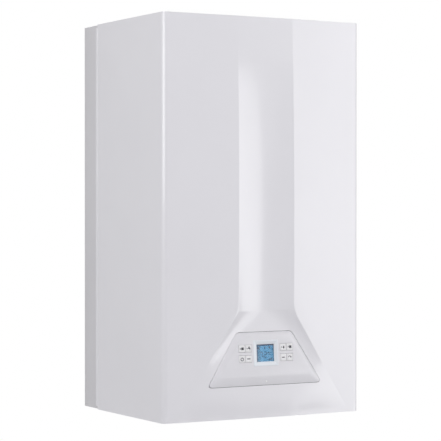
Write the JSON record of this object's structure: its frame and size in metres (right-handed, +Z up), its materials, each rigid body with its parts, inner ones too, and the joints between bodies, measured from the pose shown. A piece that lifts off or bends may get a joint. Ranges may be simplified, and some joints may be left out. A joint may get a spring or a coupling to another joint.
{
  "type": "combi boiler",
  "caption": "Wall-hung gas combi boiler: white casing with a flared front channel, display and button panel, fan-flued sealed chamber and water side inside.",
  "frame": {"origin": "middle of the chassis back panel, on the wall plane", "axes": "+Y into the wall, +Z up, +X to the right seen from the front"},
  "size_m": [0.4, 0.32, 0.7],
  "materials": {
    "casing_paint": "gloss white stoved paint",
    "frame_paint": "white stoved paint, less bright than the casing",
    "panel_plastic": "white moulded plastic, satin gloss",
    "button_plastic": "white moulded plastic with grey symbols",
    "lens": "clear window",
    "display": "blue backlit liquid crystal display",
    "dark_plastic": "moulded, fine texture",
    "grey_plastic": "moulded, satin",
    "red_plastic": "moulded, satin",
    "circuit_board": "green solder mask",
    "galvanised": "galvanised sheet",
    "stainless": "fine brushed",
    "ceramic": "white, matt",
    "copper": "drawn copper, slightly dulled",
    "brass": "cast and turned",
    "cast_aluminium": "die cast",
    "vessel_red": "red stoved paint",
    "sight_glass": "clear",
    "hose_rubber": "silicone"
  },
  "bodies": {
    "chassis": {"air_pressure_switch": "grey_plastic", "air_vent": "brass", "burner": "stainless", "cable_gland": "dark_plastic", "chamber_cover": "galvanised", "connection_plate": "galvanised", "control_cradle": "galvanised", "diverter_motor": "dark_plastic", "expansion_pipe": "copper", "expansion_vessel": "vessel_red", "fan_housing": "cast_aluminium", "fan_motor": "dark_plastic", "filling_tap": "brass", "firebox": "stainless", "flame_sensing_electrode": "ceramic", "flow_block": "brass", "flow_pipe": "copper", "flue_collar": "cast_aluminium", "flue_hood": "stainless", "gas_inlet_pipe": "brass", "gas_manifold": "brass", "gas_pipe": "brass", "gas_valve": "cast_aluminium", "heat_exchanger": "copper", "heating_flow_tail": "copper", "heating_return_tail": "copper", "hot_water_tail": "copper", "ignition_electrode": "ceramic", "insulation_lining": "ceramic", "plate_heat_exchanger": "stainless", "pressure_hose": "hose_rubber", "pump_housing": "brass", "pump_motor": "grey_plastic", "rear_frame": "frame_paint", "return_pipe": "copper", "safety_valve": "brass", "sealed_chamber": "galvanised", "sight_glass": "sight_glass", "top_plate": "galvanised", "wall_rail": "galvanised"},
    "front_casing": {"front_casing": "casing_paint"},
    "control_box": {"control_box": "dark_plastic", "control_box_cover": "dark_plastic", "control_board": "circuit_board", "control_fascia": "panel_plastic", "display_window": "lens", "display_module": "display"},
    "fan_wheel": {"fan_wheel": "cast_aluminium"},
    "pump_rotor": {"pump_rotor": "dark_plastic"},
    "diverter_spindle": {"diverter_spindle": "stainless"},
    "safety_valve_knob": {"safety_valve_knob": "red_plastic"},
    "filling_knob": {"filling_knob": "dark_plastic"},
    "button_left_lower_inner": {"button_left_lower_inner": "button_plastic"},
    "button_left_lower_outer": {"button_left_lower_outer": "button_plastic"},
    "button_left_upper_inner": {"button_left_upper_inner": "button_plastic"},
    "button_left_upper_outer": {"button_left_upper_outer": "button_plastic"},
    "button_right_lower_inner": {"button_right_lower_inner": "button_plastic"},
    "button_right_lower_outer": {"button_right_lower_outer": "button_plastic"},
    "button_right_upper_inner": {"button_right_upper_inner": "button_plastic"},
    "button_right_upper_outer": {"button_right_upper_outer": "button_plastic"}
  },
  "joints": [
    {"name": "casing_slide", "type": "slide", "parent": "chassis", "child": "front_casing", "axis": [0, -1, 0], "range_m": [0, 0.3]},
    {"name": "control_box_hinge", "type": "hinge", "parent": "chassis", "child": "control_box", "pos_m": [0, -0.29975, -0.30502], "axis": [1, 0, 0], "range_deg": [0, 80]},
    {"name": "fan_spin", "type": "hinge", "parent": "chassis", "child": "fan_wheel", "pos_m": [-0.06, -0.195, 0.25], "axis": [0, 0, 1], "continuous": true},
    {"name": "pump_spin", "type": "hinge", "parent": "chassis", "child": "pump_rotor", "pos_m": [0.1193, -0.11, -0.24], "axis": [0, -1, 0], "continuous": true},
    {"name": "diverter_stroke", "type": "slide", "parent": "chassis", "child": "diverter_spindle", "axis": [0, 0, -1], "range_m": [0, 0.006]},
    {"name": "safety_valve_turn", "type": "hinge", "parent": "chassis", "child": "safety_valve_knob", "pos_m": [-0.1133, -0.16, -0.248], "axis": [0, -1, 0], "range_deg": [0, 90]},
    {"name": "filling_tap_turn", "type": "hinge", "parent": "chassis", "child": "filling_knob", "pos_m": [0.065, -0.15, -0.2937], "axis": [0, -1, 0], "range_deg": [0, 90]},
    {"name": "button_left_lower_inner_press", "type": "slide", "parent": "control_box", "child": "button_left_lower_inner", "axis": [0, 0.9979, -0.0655], "range_m": [0, 0.001], "stiffness_N_per_m": 300, "springref_m": -0.001},
    {"name": "button_left_lower_outer_press", "type": "slide", "parent": "control_box", "child": "button_left_lower_outer", "axis": [0, 0.9979, -0.0655], "range_m": [0, 0.001], "stiffness_N_per_m": 300, "springref_m": -0.001},
    {"name": "button_left_upper_inner_press", "type": "slide", "parent": "control_box", "child": "button_left_upper_inner", "axis": [0, 0.9979, -0.0655], "range_m": [0, 0.001], "stiffness_N_per_m": 300, "springref_m": -0.001},
    {"name": "button_left_upper_outer_press", "type": "slide", "parent": "control_box", "child": "button_left_upper_outer", "axis": [0, 0.9979, -0.0655], "range_m": [0, 0.001], "stiffness_N_per_m": 300, "springref_m": -0.001},
    {"name": "button_right_lower_inner_press", "type": "slide", "parent": "control_box", "child": "button_right_lower_inner", "axis": [0, 0.9979, -0.0655], "range_m": [0, 0.001], "stiffness_N_per_m": 300, "springref_m": -0.001},
    {"name": "button_right_lower_outer_press", "type": "slide", "parent": "control_box", "child": "button_right_lower_outer", "axis": [0, 0.9979, -0.0655], "range_m": [0, 0.001], "stiffness_N_per_m": 300, "springref_m": -0.001},
    {"name": "button_right_upper_inner_press", "type": "slide", "parent": "control_box", "child": "button_right_upper_inner", "axis": [0, 0.9979, -0.0655], "range_m": [0, 0.001], "stiffness_N_per_m": 300, "springref_m": -0.001},
    {"name": "button_right_upper_outer_press", "type": "slide", "parent": "control_box", "child": "button_right_upper_outer", "axis": [0, 0.9979, -0.0655], "range_m": [0, 0.001], "stiffness_N_per_m": 300, "springref_m": -0.001}
  ],
  "couplings": [
    {"joint": "control_box_hinge", "follows": "casing_slide", "rad_per_m": 4.65}
  ]
}
